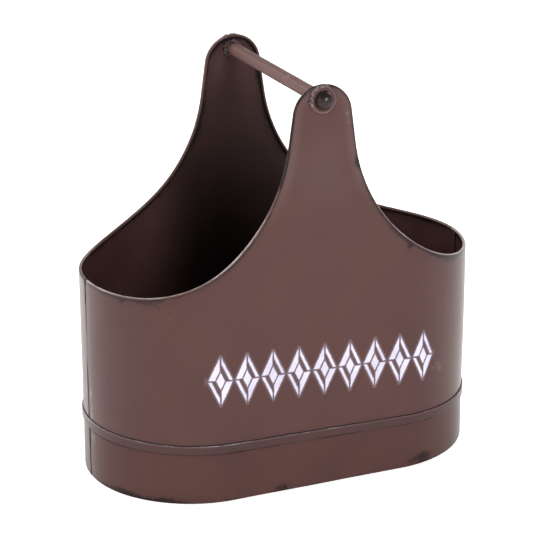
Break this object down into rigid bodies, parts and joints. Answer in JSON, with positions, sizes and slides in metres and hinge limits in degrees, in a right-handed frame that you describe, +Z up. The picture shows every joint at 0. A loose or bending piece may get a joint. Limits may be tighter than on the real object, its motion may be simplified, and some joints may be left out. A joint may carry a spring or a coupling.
{
  "type": "magazine rack",
  "caption": "Handled magazine basket in painted sheet steel: oblong body with a bell-shaped ear on each side, a cross bar between the ears, and a folded band above a skirt.",
  "frame": {"origin": "centre of the footprint, on the ground", "axes": "+X along the basket, +Y from the front sheet to the rear one, +Z up"},
  "size_m": [0.3826, 0.2298, 0.3851],
  "materials": {
    "painted_sheet": "satin antique brown paint on sheet steel, worn at the edges",
    "painted_band": "satin antique brown paint on a folded band, worn along its upper edge",
    "painted_bar": "satin antique brown paint on round bar",
    "rim_wire": "bare drawn wire, hidden in the rolled edge",
    "ball_head": "dark gunmetal brown, satin",
    "weld_bead": "crumbly weld under brown paint"
  },
  "bodies": {
    "root": {"front_panel": "painted_sheet", "rear_panel": "painted_sheet", "front_rim_wire": "rim_wire", "rear_rim_wire": "rim_wire", "floor_pan": "painted_sheet", "seam_band": "painted_band", "skirt": "painted_sheet", "handle_bar": "painted_bar", "front_washer": "painted_bar", "rear_washer": "painted_bar", "front_ball_head": "ball_head", "rear_ball_head": "ball_head", "front_inner_weld": "weld_bead", "rear_inner_weld": "weld_bead", "front_outer_weld": "weld_bead", "rear_outer_weld": "weld_bead"}
  },
  "joints": []
}
